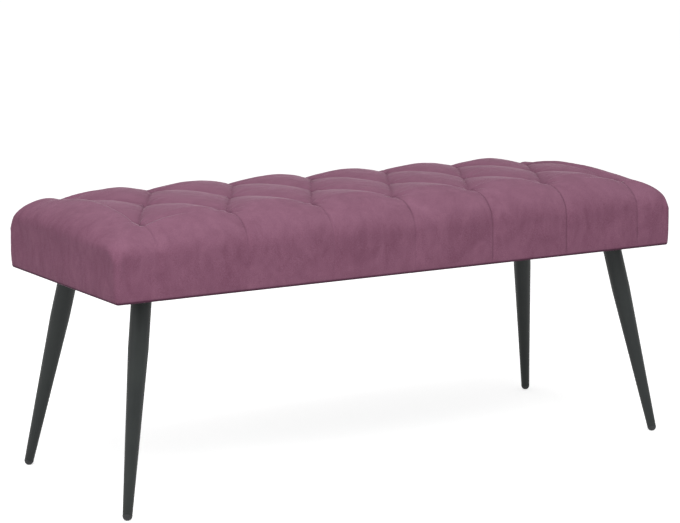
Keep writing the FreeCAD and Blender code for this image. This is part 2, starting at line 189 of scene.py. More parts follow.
# How full the puffs stand, from the tuft rows out over the edge and down the face
FRONT_FULLNESS = (
    (0.0, 0.005, 0.011, 0.022, 0.033, 0.044, 0.056, 0.068, 0.080, 0.100, 0.130, 0.166),
    (1.0, 0.97, 0.88, 0.69, 0.56, 0.47, 0.41, 0.36, 0.30, 0.18, 0.08, 0.0),
)
END_FULLNESS = (
    (0.0, 0.03, 0.06, 0.09, 0.12, 0.166),
    (1.0, 0.49, 0.46, 0.24, 0.20, 0.0),
)

# Values that follow from them
SHOULDER = BASE + SIDE_HEIGHT
EDGE_TOP = SHOULDER + EDGE_RADIUS
PITCH = (LENGTH - 2 * MARGIN) / (COLUMNS - 1)
ROW = WIDTH / 2 - MARGIN
REACH = LENGTH / 2 - MARGIN
GRID_X = LENGTH / 2 - END_DEPTH
GRID_Y = WIDTH / 2 - EDGE_RADIUS
SEAMS = [(k - (COLUMNS - 1) / 2) * PITCH for k in range(COLUMNS)]


# The form of the cushion

def ramp(value):
    """A smooth step from 0 to 1."""
    value = np.clip(value, 0, 1)
    return value * value * (3 - 2 * value)


def bell(distance, width):
    """A smooth bump that is 1 at no distance and fades over about the width."""
    return np.exp(-(distance / width) ** 2)


def share_between(value, low, high):
    """How far a value lies from low to high, held between 0 and 1."""
    return min(1.0, max(0.0, (value - low) / (high - low)))


def swell(share):
    """A half wave from a crease (0) to the middle of a puff (0.5)."""
    return np.sin(math.pi * np.clip(share, 0, 0.5))


def from_crease(lattice):
    """Distance from the nearest crease of one family, 0 on it and 0.5 midway between two."""
    return np.abs(lattice % 1 - 0.5)


def both_swells(x, y):
    """The half waves across the two families of slanted creases."""
    along = np.clip(x, -REACH, REACH) / PITCH
    across = np.clip(y, -ROW, ROW) / (2 * ROW)
    return swell(from_crease(along + across)), swell(from_crease(along - across))


def tufts():
    """The places of the tufts: full front and back rows, and a staggered middle row."""
    places = [(x, row * ROW) for x in SEAMS for row in (-1, 1)]
    places += [(x + PITCH / 2, 0.0) for x in SEAMS[:-1]]
    return places


def grid_lines(reach, fine, marks):
    """Places of grid lines, closer together beside each mark and near the two ends."""
    fine_from = reach - CORNER_SPAN
    values = [0.0]
    while values[-1] < reach - TINY:
        near = min([abs(values[-1] + fine / 2 - mark) for mark in marks], default=1.0)
        near = min(near, max(0.0, fine_from - values[-1]))
        width = fine + (GRID_STEP - fine) * min(1.0, max(0.0, (near - FINE_REACH) / FINE_FADE))
        values.append(min(reach, values[-1] + width))
    return np.array([-value for value in reversed(values[1:])] + values)


def puff_share(x, y):
    """How full the cushion stands at each place: 0 in tufts and seams, 1 in the middle of a puff."""
    first, second = both_swells(x, y)
    power = INNER_POWER - (INNER_POWER - OUTER_POWER) * ramp((np.abs(y) - ROW) / POWER_SPAN)
    share = first ** power * second ** power
    past = np.clip((np.abs(x) - REACH) / (END_FILL_WIDTH * MARGIN), 0, 1)
    filled = END_FILL * np.sin(math.pi / 2 * past)
    return 1 - (1 - share) * (1 - filled)


def crease_lift(x, y):
    """How far the creases rise between two tufts."""
    return CREASE_RISE * np.maximum(*both_swells(x, y))


def end_inset(height):
    """How far the ends have come in at a height: little at first, then more and more."""
    up = share_between(height, SHOULDER + END_SHOULDER_LIFT, EDGE_TOP)
    return END_DEPTH * (1 - (1 - up ** END_SQUARENESS) ** (1 / END_SQUARENESS))


def side_rings():
    """Distance down the side, inset of the front and back, and height of each ring below the top."""
    rings = []
    quarter = EDGE_RADIUS * math.pi / 2
    for step in range(1, EDGE_RINGS + 1):
        turn = math.pi / 2 * (1 - step / EDGE_RINGS)
        inset = EDGE_RADIUS * (1 - math.cos(turn))
        rings.append((quarter * step / EDGE_RINGS, inset, SHOULDER + EDGE_RADIUS * math.sin(turn)))
    foot = BASE + LOWEST_SIDE_RING
    for step in range(1, SIDE_RINGS + 1):
        height = SHOULDER + (foot - SHOULDER) * step / SIDE_RINGS
        rings.append((quarter + SHOULDER - height, 0.0, height))
    return rings


def plan_radius(height):
    """The radius of the upright corners in plan, fullest half way round the top edge."""
    up = min(1.0, max(0.0, (height - SHOULDER) / EDGE_RADIUS))
    return CORNER_RADIUS * (1 - up) + TOP_CORNER_RADIUS * math.sin(math.pi * up)


def along_side(place, span, half, radius):
    """Carry a place along one side of the grid over to a ring: how far along, and its turn."""
    keep = span - CORNER_SPAN
    if abs(place) <= keep:
        return place, 0.0
    sign = math.copysign(1, place)
    share = (abs(place) - keep) / (span - keep)
    straight = half - radius - keep
    run = share * (straight + radius * math.pi / 4)
    if run <= straight:
        return sign * (keep + run), 0.0
    turn = (run - straight) / radius
    return sign * (half - radius + radius * math.sin(turn)), turn


def ring_point(x, y, half_x, half_y, radius):
    """Place and outward direction on a ring for one point of the grid's border."""
    sign_x, sign_y = math.copysign(1, x), math.copysign(1, y)
    on_long_side = abs(abs(y) - GRID_Y) < TINY
    if on_long_side:
        across, turn = along_side(x, GRID_X, half_x, radius)
        depth = half_y - radius + radius * math.cos(turn)
        return across, sign_y * depth, sign_x * math.sin(turn), sign_y * math.cos(turn)
    across, turn = along_side(y, GRID_Y, half_y, radius)
    depth = half_x - radius + radius * math.cos(turn)
    return sign_x * depth, across, sign_x * math.cos(turn), sign_y * math.sin(turn)


class Block:
    """The plain rounded block that the tufted form is drawn from."""

    def __init__(self):
        right_seams = [seam for seam in SEAMS if seam >= 0]
        xs = grid_lines(GRID_X, FINE_STEP_ALONG, right_seams)
        ys = grid_lines(GRID_Y, FINE_STEP_ACROSS, [])
        self.places = []
        self.directions = []
        self.past_row = []
        self.past_end = []
        self.end_weight = []
        self.faces = []
        self.add_top(xs, ys)
        self.add_sides()

    def add(self, places, directions, past_row, past_end, end_weight):
        self.places.append(np.array(places))
        self.directions.append(np.array(directions))
        self.past_row.append(np.array(past_row))
        self.past_end.append(np.array(past_end))
        self.end_weight.append(np.array(end_weight))

    def add_top(self, xs, ys):
        x, y = (grid.ravel() for grid in np.meshgrid(xs, ys, indexing="ij"))
        flat = np.zeros(len(x))
        self.add(
            np.stack([x, y, flat + EDGE_TOP], 1),
            np.stack([flat, flat, flat + 1], 1),
            np.maximum(0, np.abs(y) - ROW),
            np.maximum(0, np.abs(x) - REACH),
            flat,
        )
        rows = len(ys)
        for i in range(len(xs) - 1):
            for j in range(rows - 1):
                corner = i * rows + j
                self.faces.append((corner, corner + rows, corner + rows + 1, corner + 1))
        border = [(i, 0) for i in range(len(xs))]
        border += [(len(xs) - 1, j) for j in range(1, rows)]
        border += [(i, rows - 1) for i in range(len(xs) - 2, -1, -1)]
        border += [(0, j) for j in range(rows - 2, 0, -1)]
        self.border = [(xs[i], ys[j]) for i, j in border]
        self.rim = [i * rows + j for i, j in border]
        self.count = len(x)

    def add_ring(self, half_x, half_y, radius, height, turn, distance):
        points = [ring_point(x, y, half_x, half_y, radius) for x, y in self.border]
        places = [(x, y, height) for x, y, _, _ in points]
        level, up = math.cos(turn), math.sin(turn)
        directions = [(a * level, b * level, up) for _, _, a, b in points]
        weights = [a * a for _, _, a, _ in points]
        size = len(points)
        past_row = np.full(size, GRID_Y - ROW + distance)
        past_end = np.full(size, GRID_X - REACH + distance)
        self.add(places, directions, past_row, past_end, weights)
        ring = list(range(self.count, self.count + size))
        for i in range(size):
            k = (i + 1) % size
            self.faces.append((self.rim[i], ring[i], ring[k], self.rim[k]))
        self.rim = ring
        self.count += size

    def add_sides(self):
        for distance, inset, height in side_rings():
            tuck = SHOULDER_TUCK * min(1.0, (height - BASE) / (SHOULDER - BASE))
            half_x = LENGTH / 2 - end_inset(height) - tuck
            half_y = WIDTH / 2 - inset - tuck
            turn = math.asin(min(1.0, max(0.0, (height - SHOULDER) / EDGE_RADIUS)))
            self.add_ring(half_x, half_y, plan_radius(height), height, turn, distance)
        self.body_count = self.count
        for inset, height in HEM_RINGS:
            half_x, half_y = LENGTH / 2 - inset, WIDTH / 2 - inset
            radius = max(SMALLEST_CORNER_RADIUS, CORNER_RADIUS - inset)
            self.add_ring(half_x, half_y, radius, BASE + height, 0.0, HEM_DISTANCE)
        self.faces.append(tuple(self.rim))

    def gathered(self):
        return [np.concatenate(part) for part in (
            self.places, self.directions, self.past_row, self.past_end, self.end_weight
        )]


def puff_rise(x, y, past_row, past_end, end_weight, on_top):
    """How far the puffs, creases and tufts stand out from the plain block."""
    front = PUFF * np.interp(past_row, *FRONT_FULLNESS)
    end = PUFF * np.interp(past_end, *END_FULLNESS)
    round_the_side = front * (1 - end_weight) + end * end_weight
    full = np.where(on_top, np.minimum(front, end), round_the_side)
    lift = crease_lift(x, y) * ramp(1 - past_end / LOW_SPAN)
    low = ramp(1 - past_row / LOW_SPAN) * (lift - TUFT_DROP)
    return low + (full - low) * puff_share(x, y)


def tuft_pull(x, y, rng):
    """The small dimple and the short folds that run out from each tuft, and the patch round each
    tuft where shade is painted.
    """
    depth = np.zeros(len(x))
    near = np.zeros(len(x))
    for tuft_x, tuft_y in tufts():
        reach = np.hypot(x - tuft_x, y - tuft_y)
        around = np.arctan2(y - tuft_y, x - tuft_x)
        phase = rng.uniform(0, 2 * math.pi)
        folds = np.cos(MANY_FOLDS * around + phase)
        folds += FEW_FOLDS_SHARE * np.cos(FEW_FOLDS * around - phase)
        window = np.clip(reach / FOLD_START, 0, 1) * bell(reach, FOLD_REACH)
        depth += FOLD_HEIGHT * folds * window - DIMPLE_DEPTH * bell(reach, DIMPLE_REACH)
        near = np.maximum(near, bell(reach, TUFT_SHADE_REACH))
    return depth, near


def seam_groove(x, y, past_row):
    """The stitched seams that run from the outer tufts over the edge and down the face, with a
    darker line along each that is partly the seam's own tone and partly painted shade in its groove.
    """
    depth = np.zeros(len(x))
    line = np.zeros(len(x))
    beyond = ramp((np.abs(y) - ROW - SEAM_START) / SEAM_START_SPAN)
    for seam, crispness, on_face in zip(SEAMS, SEAM_CRISPNESS, SEAM_ON_FACE):
        lower = 1 - (1 - on_face) * ramp((past_row - FACE_START) / FACE_SPAN)
        off = np.abs(x - seam)
        share = SEAM_LEAST_DEPTH + (1 - SEAM_LEAST_DEPTH) * crispness
        depth -= SEAM_DEPTH * share * bell(off, SEAM_WIDTH) * beyond * lower
        shaded = SEAM_LINE_LEVEL * crispness * bell(off, SEAM_LINE_WIDTH) * beyond * lower
        line = np.maximum(line, shaded)
    return depth, line


def seam_wrinkles(x, y, past_row, rng):
    """Fine folds beside the seams where the cloth turns over the edge."""
    depth = np.zeros(len(x))
    for seam in SEAMS:
        for side in (-1, 1):
            for row in (-1, 1):
                start = rng.uniform(*WRINKLE_START)
                for _ in range(rng.choice(WRINKLE_COUNTS)):
                    drift = rng.uniform(*WRINKLE_DRIFT)
                    centre = seam + side * (start + drift * past_row)
                    middle = rng.uniform(*WRINKLE_MIDDLE)
                    window = bell(past_row - middle, WRINKLE_LENGTH) * (np.sign(y) == row)
                    strength = rng.uniform(*WRINKLE_DEPTH)
                    depth -= strength * bell(x - centre, WRINKLE_WIDTH) * window
                    start += rng.uniform(*WRINKLE_STEP)
    return depth


def corner_pleats(places):
    """A short upright fold beside each corner, where the cloth is gathered below the edge."""
    x, y, z = places.T
    along = LENGTH / 2 - np.abs(x)
    on_face = (np.abs(y) > WIDTH / 2 - PLEAT_FACE) & (z > BASE)
    window = bell(z - PLEAT_LEVEL, PLEAT_LENGTH) * on_face
    ridge = bell(along - RIDGE_PLACE, RIDGE_WIDTH)
    groove = bell(along - GROOVE_PLACE, GROOVE_WIDTH)
    return (RIDGE_HEIGHT * ridge - GROOVE_DEPTH * groove) * window


def soft_waves(places, size, strength, seed):
    """Slow, uneven waves of the cloth."""
    shift = Vector((seed, 2 * seed, 3 * seed))
    values = [noise.noise(Vector(place) / size + shift) for place in places]
    return strength * np.array(values)


def corner_fall(places):
    """How far the round edge falls away towards each corner."""
    x, y, z = places.T
    to_corner = np.hypot(LENGTH / 2 - np.abs(x), WIDTH / 2 - np.abs(y))
    left_fall = np.where(y < 0, FRONT_LEFT_CORNER_FALL, BACK_LEFT_CORNER_FALL)
    fall = np.where(x < 0, left_fall, RIGHT_CORNER_FALL)
    return fall * bell(to_corner, CORNER_REACH) * ramp((z - SHOULDER) / EDGE_RADIUS)


def tufted_form():
    """Places and faces of the whole cushion, and marks for its seam lines and for the painted shade
    and light at its hem, tufts, creases and top.
    """
    rng = random.Random(7)
    block = Block()
    places, directions, past_row, past_end, end_weight = block.gathered()
    x, y, z = places.T
    on_top = directions[:, 2] > STRAIGHT_UP
    rise = puff_rise(x, y, past_row, past_end, end_weight, on_top)
    pull, near_tuft = tuft_pull(x, y, rng)
    groove, line = seam_groove(x, y, past_row)
    rise += pull * on_top + groove + seam_wrinkles(x, y, past_row, rng) + corner_pleats(places)
    rise -= END_FALL * on_top * ramp((np.abs(x) - REACH + END_FALL_START) / END_FALL_SPAN)
    rise += soft_waves(places, *LONG_WAVES) + soft_waves(places, *SHORT_WAVES)
    rise[block.body_count:] = 0
    down = np.clip((z - BASE) / FOOT_FADE, 0, 1)
    rise *= down
    # Painted shade along the foot, where the cloth turns in under the seat
    hem_shade = np.clip(1 - (z - BASE - HEM_SHADE_TOP) / HEM_SHADE_FADE, 0, 1)
    # How far each point faces up, less at the ends, for the painted top light
    tilt = directions[:, 2] - UPWARD_SHIFT_AT_ENDS * end_weight
    # The marks: seam lines with painted shade under the hem, painted shade round the tufts and in
    # the creases, and painted top light
    marks = {
        "seam": np.maximum(line * down, hem_shade),
        "tuft": near_tuft * on_top,
        "painted_top_light": ramp(tilt / UPWARD_SPAN) * down,
        "crease": (1 - puff_share(x, y)) ** 2 * on_top * ramp(1 - past_row / LOW_SPAN),
    }
    places[:, 2] -= corner_fall(places)
    return places + directions * rise[:, None], block.faces, marks


def mesh_piece(name, places, faces, smooth=True):
    """Make a mesh object and put it into the scene."""
    mesh = bpy.data.meshes.new(name)
    mesh.from_pydata([tuple(place) for place in places], [], faces)
    mesh.update()
    if smooth:
        mesh.polygons.foreach_set("use_smooth", [True] * len(mesh.polygons))
    piece = bpy.data.objects.new(name, mesh)
    bpy.context.scene.collection.objects.link(piece)
    return piece


def make_cushion():
    """The velvet cushion, which stands for the soft solids of the seat."""
    places, faces, marks = tufted_form()
    piece = mesh_piece("tufted_cushion", places, faces)
    for label, values in marks.items():
        attribute = piece.data.attributes.new(label, "FLOAT", "POINT")
        attribute.data.foreach_set("value", values.astype(np.float32))
    piece.data.materials.append(velvet())
    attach(piece, "root")
    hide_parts("seat_cover", "seat_foam", "tuft_tapes")


# Materials

# Nearly all of a noise texture lies between these values
NOISE_LOW = 0.3
NOISE_HIGH = 0.7


class Nodes:
    """A material's node tree, with short calls for the nodes that the materials here use."""

    def __init__(self, name):
        self.material = bpy.data.materials.new(name)
        self.material.use_nodes = True
        self.tree = self.material.node_tree
        self.shader = self.tree.nodes["Principled BSDF"]

    def set(self, **values):
        for name, value in values.items():
            self.shader.inputs[name.replace("_", " ")].default_value = value

    def drive(self, **sources):
        for name, source in sources.items():
            self.link(source, self.shader.inputs[name.replace("_", " ")])

    def link(self, source, target):
        self.tree.links.new(source, target)

    def add(self, kind, **settings):
        node = self.tree.nodes.new(kind)
        for name, value in settings.items():
            setattr(node, name, value)
        return node

    def coordinates(self, scale=(1, 1, 1), rotation=(0, 0, 0)):
        source = self.add("ShaderNodeTexCoord")
        mapping = self.add("ShaderNodeMapping")
        mapping.inputs["Scale"].default_value = scale
        mapping.inputs["Rotation"].default_value = rotation
        self.link(source.outputs["Object"], mapping.inputs["Vector"])
        return mapping.outputs["Vector"]

    def noise(self, vector, scale, detail=2.0, roughness=0.5, distortion=0.0):
        node = self.add("ShaderNodeTexNoise")
        node.inputs["Scale"].default_value = scale
        node.inputs["Detail"].default_value = detail
        node.inputs["Roughness"].default_value = roughness
        node.inputs["Distortion"].default_value = distortion
        self.link(vector, node.inputs["Vector"])
        return node.outputs["Fac"]

    def math(self, operation, first, second):
        node = self.add("ShaderNodeMath", operation=operation)
        for socket, value in zip(node.inputs, (first, second)):
            if isinstance(value, (int, float)):
                socket.default_value = value
            else:
                self.link(value, socket)
        return node.outputs[0]

    def total(self, first, *others):
        for value in others:
            first = self.math("ADD", first, value)
        return first

    def spread(self, value, to_low=0.0, to_high=1.0, low=NOISE_LOW, high=NOISE_HIGH):
        node = self.add("ShaderNodeMapRange")
        node.inputs["From Min"].default_value = low
        node.inputs["From Max"].default_value = high
        node.inputs["To Min"].default_value = to_low
        node.inputs["To Max"].default_value = to_high
        self.link(value, node.inputs["Value"])
        return node.outputs[0]

    def mix(self, share, first, second):
        node = self.add("ShaderNodeMix", data_type="RGBA")
        self.link(share, node.inputs["Factor"])
        for socket, value in ((node.inputs[6], first), (node.inputs[7], second)):
            if isinstance(value, tuple):
                socket.default_value = value
            else:
                self.link(value, socket)
        return node.outputs[2]

    def tint(self, colour, mark, amount, other):
        return self.mix(self.math("MULTIPLY", mark, amount), colour, other)

    def attribute(self, name):
        return self.add("ShaderNodeAttribute", attribute_name=name).outputs["Fac"]

    def bump(self, height, distance, normal=None):
        node = self.add("ShaderNodeBump")
        node.inputs["Distance"].default_value = distance
        node.inputs["Strength"].default_value = 1.0
        self.link(height, node.inputs["Height"])
        if normal is not None:
            self.link(normal, node.inputs["Normal"])
        return node.outputs["Normal"]


def shade(red, green, blue):
    """A colour given as it looks on screen, as the linear value that shaders take."""
    linear = []
    for value in (red, green, blue):
        value /= 255
        linear.append(value / 12.92 if value <= 0.04045 else ((value + 0.055) / 1.055) ** 2.4)
    return (*linear, 1.0)


# The colours of the velvet, among them a painted top light, a painted crease shade, and a dark for
# seams and painted shade
VELVET_DEEP = shade(109, 67, 87)
VELVET_PALE = shade(137, 93, 114)
VELVET_PAINTED_TOP_LIGHT = shade(151, 114, 132)
VELVET_PAINTED_CREASE_SHADE = shade(88, 52, 70)
VELVET_SEAM_AND_PAINTED_SHADE = shade(62, 34, 50)
VELVET_SHEEN = shade(246, 218, 231)


def velvet():
    """Dusty mauve velvet: brushed patches, slanted nap strokes and a fine pile, with painted top
    light, painted shade in creases, round tufts and under the hem, and darker seam lines that are
    partly painted shade.
    """
    nodes = Nodes("dusty_velvet")
    nodes.set(Roughness=0.9, Specular_IOR_Level=0.12)
    nodes.set(Sheen_Weight=0.75, Sheen_Roughness=0.17, Sheen_Tint=VELVET_SHEEN)
    slanted = nodes.coordinates(scale=(1, 1, 0.75), rotation=(0.0, 0.35, 0.0))
    patches = nodes.noise(slanted, scale=15.0, detail=3.0, roughness=0.6, distortion=1.6)
    brushed = nodes.coordinates(scale=(1, 1, 0.5), rotation=(0.2, 0.5, 0.3))
    strokes = nodes.noise(brushed, scale=38.0, detail=3.0, roughness=0.55, distortion=1.2)
    upright = nodes.coordinates(scale=(1, 1, 0.2), rotation=(0.0, 0.12, 0.0))
    streaks = nodes.noise(upright, scale=120.0, detail=2.0, roughness=0.5, distortion=0.4)
    pile = nodes.noise(nodes.coordinates(), scale=900.0, detail=2.0, roughness=0.6)
    middle_tone = 0.25
    tone = nodes.total(
        nodes.spread(patches, -0.17, 0.17),
        nodes.spread(strokes, -0.15, 0.15),
        nodes.spread(streaks, -0.03, 0.03),
        nodes.spread(pile, -0.10, 0.60),
        middle_tone,
    )
    colour = nodes.mix(tone, VELVET_DEEP, VELVET_PALE)
    # Painted top light: a paler tone where the cloth faces up
    colour = nodes.tint(colour, nodes.attribute("painted_top_light"), 0.18, VELVET_PAINTED_TOP_LIGHT)
    # Painted shade in the creases between the puffs
    colour = nodes.tint(colour, nodes.attribute("crease"), 0.28, VELVET_PAINTED_CREASE_SHADE)
    # Darker seam lines, partly the seam's own tone and partly painted shade in its groove, with
    # painted shade under the hem and round each tuft
    tuft_shade = nodes.math("MULTIPLY", nodes.attribute("tuft"), 0.5)
    dark = nodes.math("MAXIMUM", nodes.attribute("seam"), tuft_shade)
    colour = nodes.tint(colour, dark, 0.85, VELVET_SEAM_AND_PAINTED_SHADE)
    normal = nodes.bump(pile, 0.00025)
    nodes.drive(Base_Color=colour, Normal=nodes.bump(strokes, 0.0005, normal))
    return nodes.material


def coated_steel():
    """Matt charcoal powder coat with a very fine orange peel."""
    nodes = Nodes("charcoal_coat")
    nodes.set(Specular_IOR_Level=0.3)
    plain = nodes.coordinates()
    grain = nodes.noise(plain, scale=1400.0, detail=2.0, roughness=0.5)
    cloud = nodes.noise(plain, scale=22.0, detail=3.0, roughness=0.6)
    colour = nodes.mix(nodes.spread(cloud), shade(28, 32, 32), shade(36, 40, 39))
    nodes.drive(Base_Color=colour, Roughness=nodes.spread(cloud, 0.44, 0.54))
    nodes.drive(Normal=nodes.bump(grain, 0.00006))
    return nodes.material


def moulded_plastic():
    """Dark moulded plastic for the glides, a little worn."""
    nodes = Nodes("glide_plastic")
    nodes.set(Specular_IOR_Level=0.4)
    scuffs = nodes.noise(nodes.coordinates(), scale=160.0, detail=4.0, roughness=0.65)
    wear = nodes.spread(scuffs, low=0.35, high=0.75)
    colour = nodes.mix(wear, shade(34, 36, 37), shade(48, 50, 51))
    nodes.drive(Base_Color=colour, Roughness=nodes.spread(scuffs, 0.5, 0.7))
    nodes.drive(Normal=nodes.bump(scuffs, 0.0001))
    return nodes.material


def pale_wood(name):
    """Pale wood with a fine straight grain."""
    nodes = Nodes(name)
    nodes.set(Roughness=0.7, Specular_IOR_Level=0.3)
    lengthwise = nodes.coordinates(scale=(1, 14, 14))
    grain = nodes.noise(lengthwise, scale=9.0, detail=6.0, roughness=0.6, distortion=0.5)
    fine = nodes.coordinates(scale=(6, 120, 120))
    pores = nodes.noise(fine, scale=8.0, detail=2.0, roughness=0.5)
    colour = nodes.mix(nodes.spread(grain), shade(176, 141, 100), shade(205, 174, 134))
    nodes.drive(Base_Color=colour, Normal=nodes.bump(pores, 0.0002))
    return nodes.material


def lining_cloth():
    """Black bonded lining with its pressed dimple pattern."""
    nodes = Nodes("black_lining")
    nodes.set(Roughness=0.95, Specular_IOR_Level=0.2, Sheen_Weight=0.15, Sheen_Roughness=0.6)
    fibres = nodes.noise(nodes.coordinates(scale=(1, 2, 1)), scale=420.0, detail=3.0, roughness=0.7)
    dimples = nodes.add("ShaderNodeTexVoronoi", feature="F1")
    dimples.inputs["Scale"].default_value = 330.0
    dimples.inputs["Randomness"].default_value = 0.25
    nodes.link(nodes.coordinates(), dimples.inputs["Vector"])
    colour = nodes.mix(nodes.spread(fibres), shade(24, 24, 26), shade(44, 44, 47))
    normal = nodes.bump(dimples.outputs["Distance"], 0.0006)
    nodes.drive(Base_Color=colour, Normal=nodes.bump(fibres, 0.0002, normal))
    return nodes.material


def staple_wire():
    """Galvanised staple wire."""
    nodes = Nodes("staple_wire")
    nodes.set(Metallic=1.0, Specular_IOR_Level=0.5)
    grain = nodes.noise(nodes.coordinates(), scale=600.0, detail=3.0, roughness=0.6)
    colour = nodes.mix(nodes.spread(grain), shade(168, 170, 173), shade(196, 198, 200))
    nodes.drive(Base_Color=colour, Roughness=nodes.spread(grain, 0.3, 0.45))
    return nodes.material


def give(node, material):
    """Give a CAD node one material."""
    cad[node].data.materials.clear()
    cad[node].data.materials.append(material)


# Rigid pieces

# Each leg's corner, as its side along X and along Y
CORNERS = {
    "front_left": (-1, -1),
    "front_right": (1, -1),
    "back_left": (-1, 1),
    "back_right": (1, 1),
}

# Where the axis of a leg meets the seat, in from the end and the side, and how far it leans out
LEG_END_INSET = 0.075
LEG_SIDE_INSET = 0.0684
SPLAY_ALONG = 0.059
SPLAY_ACROSS = 0.0568

# The glide: its radius, the flat it stands on, its collar, the rim below the joint, and its arc
LEG_TIP_RADIUS = 0.00775
GLIDE_FLAT = 0.0005
GLIDE_COLLAR = 0.0025
GLIDE_RIM = 0.0007
GLIDE_RIM_STEP = 0.0003
GLIDE_ARC = 84
GLIDE_ARC_STEPS = 12

# Edges with a greater angle than this, in radians, stay sharp
SHARP_ANGLE = 0.6


def leg_axis(corner):
    """The floor point of a leg's axis and the direction up along it."""
    side, end = CORNERS[corner]
    top = Vector((side * (LENGTH / 2 - LEG_END_INSET), end * (WIDTH / 2 - LEG_SIDE_INSET), BASE))
    foot = top + Vector((side * SPLAY_ALONG, end * SPLAY_ACROSS, -BASE))
    return foot, (top - foot).normalized()


def turned_piece(name, profile, rounds=48):
    """Turn a profile of (radius, height) points round the Z axis."""
    places = []
    for radius, height in profile:
        for step in range(rounds):
            turn = 2 * math.pi * step / rounds
            places.append((radius * math.cos(turn), radius * math.sin(turn), height))
    faces = []
    for level in range(len(profile) - 1):
        low, high = level * rounds, (level + 1) * rounds
        for step in range(rounds):
            follow = (step + 1) % rounds
            faces.append((low + step, low + follow, high + follow, high + step))
    faces.append(tuple(reversed(range(rounds))))
    faces.append(tuple(range((len(profile) - 1) * rounds, len(profile) * rounds)))
    return mesh_piece(name, places, faces)


def glide_profile(centre):
    """The half outline of a glide: a round foot, and a rim that steps in below the tube."""
    radius = LEG_TIP_RADIUS
    profile = []
    for step in range(GLIDE_ARC_STEPS + 1):
        turn = math.radians(-GLIDE_ARC + GLIDE_ARC * step / GLIDE_ARC_STEPS)
        profile.append((radius * math.cos(turn), centre + radius * math.sin(turn)))
    joint = centre + GLIDE_COLLAR
    profile.append((radius, joint - GLIDE_RIM))
    profile.append((radius - GLIDE_RIM_STEP, joint - GLIDE_RIM_STEP))
    profile.append((radius - 2 * GLIDE_RIM_STEP, joint))
    return profile


def make_glides(material):
    """A rounded glide under each leg, with the faint groove where it meets the tube."""
    for corner in CORNERS:
        foot, up = leg_axis(corner)
        centre = (LEG_TIP_RADIUS - GLIDE_FLAT) / up.z
        piece = turned_piece(f"glide_{corner}", glide_profile(centre))
        turn = up.to_track_quat("Z", "Y").to_matrix().to_4x4()
        piece.data.transform(Matrix.Translation(foot) @ turn)
        for vertex in piece.data.vertices:
            vertex.co.z = max(0.0, vertex.co.z)
        piece.data.materials.append(material)
        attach(piece, "root")
        if corner == "front_left":
            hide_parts("leg_glides")


def smooth_by_angle(mesh, limit):
    """Shade round faces smooth and keep real edges sharp."""
    work = bmesh.new()
    work.from_mesh(mesh)
    soft_edges = []
    for edge in work.edges:
        soft_edges.append(len(edge.link_faces) == 2 and edge.calc_face_angle(0) < limit)
    work.free()
    mesh.polygons.foreach_set("use_smooth", [True] * len(mesh.polygons))
    for edge, soft in zip(mesh.edges, soft_edges):
        edge.use_edge_sharp = not soft


def dress_rigid_nodes():
    """Materials for the CAD nodes that show as they are, and the glides."""
    coat = coated_steel()
    for corner in CORNERS:
        for node in (f"leg_{corner}", f"leg_plate_{corner}"):
            give(node, coat)
            smooth_by_angle(cad[node].data, SHARP_ANGLE)
    give("seat_board", pale_wood("birch_ply"))
    give("tuft_pegs", pale_wood("peg_wood"))
    make_glides(moulded_plastic())


# The underside

# The lining: grid step, gap round a plate, sag and how far in it is reached, height and size of its
# ripples and where they start, gap below the board, and thickness
LINING_STEP = 0.008
WINDOW_GAP = 0.004
LINING_SAG = 0.0016
SAG_REACH = 0.03
RIPPLE_HEIGHT = 0.0006
RIPPLE_LENGTH = 0.05
RIPPLE_WIDTH = 0.04
RIPPLE_SLICE = 2.7
RIPPLE_START = 0.01
LINING_GAP = 0.0001
LINING_THICKNESS = 0.0004

# A staple: half its length, half the width and the thickness of its wire, its bend, how far its
# inner face is drawn in, and how deep it goes
STAPLE_HALF = 0.0052
STAPLE_HALF_WIDTH = 0.0006
STAPLE_THICKNESS = 0.0005
STAPLE_BEND = 0.0006
STAPLE_INNER_SHARE = 0.92
STAPLE_DEPTH = 0.0005

# The row of staples: its inset, spacing and level below the board, and how unevenly it is set
STAPLE_INSET = 0.006
STAPLE_SPACING = 0.045
STAPLE_LEVEL = 0.0005
STAPLE_STRAY = 0.001
STAPLE_TURN = 0.12


def even_places(low, high, count):
    """Places at even steps from low to high, with both ends."""
    return [low + (high - low) * index / count for index in range(count + 1)]


def drawn_to(values, edges):
    """Move the values that lie beside an edge onto it."""
    moved = []
    for value in values:
        beside = [edge for edge in edges if abs(value - edge) < LINING_STEP / 2]
        moved.append(beside[0] if beside else value)
    return moved


def plate_windows():
    """Left, right, front and back of the window round each leg plate."""
    windows = []
    for corner in CORNERS:
        low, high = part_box(f"leg_plate_{corner}")
        sides = (low.x - WINDOW_GAP, high.x + WINDOW_GAP)
        windows.append((*sides, low.y - WINDOW_GAP, high.y + WINDOW_GAP))
    return windows


def lining_place(x, y, low, high, windows):
    """A point of the lining, which sags and ripples a little away from its edges."""
    edge = min(x - low.x, high.x - x, y - low.y, high.y - y)
    for left, right, front, back in windows:
        edge = min(edge, max(left - x, x - right, front - y, y - back, 0.0))
    sag = LINING_SAG * (1 - math.exp(-edge / SAG_REACH))
    ripple = noise.noise(Vector((x / RIPPLE_LENGTH, y / RIPPLE_WIDTH, RIPPLE_SLICE)))
    ripple *= RIPPLE_HEIGHT * min(1.0, edge / RIPPLE_START)
    return x, y, high.z - LINING_GAP - sag + ripple


def lining_faces(across, along, windows):
    """The faces of the lining, with none in the windows."""
    rows = len(along)
    faces = []
    for i in range(len(across) - 1):
        for j in range(rows - 1):
            x = (across[i] + across[i + 1]) / 2
            y = (along[j] + along[j + 1]) / 2
            if any(left < x < right and front < y < back for left, right, front, back in windows):
                continue
            corner = i * rows + j
            faces.append((corner, corner + 1, corner + rows + 1, corner + rows))
    return faces


